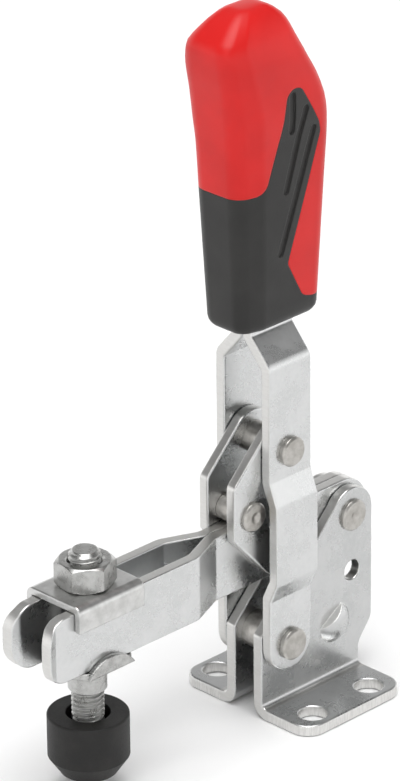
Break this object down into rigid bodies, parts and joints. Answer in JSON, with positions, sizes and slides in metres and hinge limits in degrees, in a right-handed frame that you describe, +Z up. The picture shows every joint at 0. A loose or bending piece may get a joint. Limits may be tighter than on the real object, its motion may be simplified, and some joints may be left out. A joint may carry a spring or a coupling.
{
  "type": "toggle clamp",
  "caption": "Vertical toggle clamp: hand lever, link and open two-plate arm on an angle base, with a rubber-capped spindle on a saddle clip.",
  "frame": {"origin": "centre of the four mounting holes on the underside of the feet", "axes": "+X along the clamping arm to the spindle, +Z up from the mounting plane, +Y to the left side"},
  "size_m": [0.1135, 0.0444, 0.1864],
  "materials": {
    "zinc_plate": "zinc-plated pressed steel",
    "rivet_steel": "stainless steel, satin",
    "bolt_zinc": "zinc-plated steel",
    "cap_rubber": "moulded black rubber, matt",
    "grip_black": "finely grained black plastic",
    "grip_red": "soft red moulding, satin"
  },
  "bodies": {
    "base": {"base_plate_left": "zinc_plate", "base_plate_right": "zinc_plate", "lever_rivet": "rivet_steel", "lever_bush": "rivet_steel", "arm_rivet": "rivet_steel", "arm_bush": "rivet_steel"},
    "lever": {"lever_plate_left": "zinc_plate", "lever_plate_right": "zinc_plate", "lever_link_rivet": "rivet_steel", "grip_core": "grip_black", "grip_shell": "grip_red"},
    "arm": {"arm_plate_left": "zinc_plate", "arm_plate_right": "zinc_plate"},
    "link": {"link_plate_left": "zinc_plate", "link_plate_right": "zinc_plate", "link_rivet": "rivet_steel", "link_bush": "rivet_steel", "link_arm_rivet": "rivet_steel", "link_arm_bush": "rivet_steel", "stop_pin": "rivet_steel"},
    "carriage": {"saddle_clip": "bolt_zinc", "flanged_sleeve": "bolt_zinc", "hex_nut": "bolt_zinc"},
    "spindle": {"spindle_screw": "bolt_zinc", "rubber_cap": "cap_rubber"}
  },
  "joints": [
    {"name": "lever_pivot", "type": "hinge", "parent": "base", "child": "lever", "pos_m": [0.01, 0, 0.0198], "axis": [0, -1, 0], "range_deg": [0, 62]},
    {"name": "arm_pivot", "type": "hinge", "parent": "base", "child": "arm", "pos_m": [-0.015, 0, 0.045], "axis": [0, -1, 0], "range_deg": [0, 108.35]},
    {"name": "link_pivot", "type": "hinge", "parent": "arm", "child": "link", "pos_m": [0.0096, 0, 0.045], "axis": [0, -1, 0], "range_deg": [0, 43.25]},
    {"name": "spindle_shift", "type": "slide", "parent": "arm", "child": "carriage", "axis": [1, 0, 0], "range_m": [-0.018, 0.006]},
    {"name": "spindle_height", "type": "slide", "parent": "carriage", "child": "spindle", "axis": [0, 0, 1], "range_m": [-0.003, 0.0055]}
  ],
  "couplings": [
    {"joint": "arm_pivot", "follows": "lever_pivot", "ratio": 1.7475},
    {"joint": "link_pivot", "follows": "lever_pivot", "ratio": 0.69744}
  ]
}
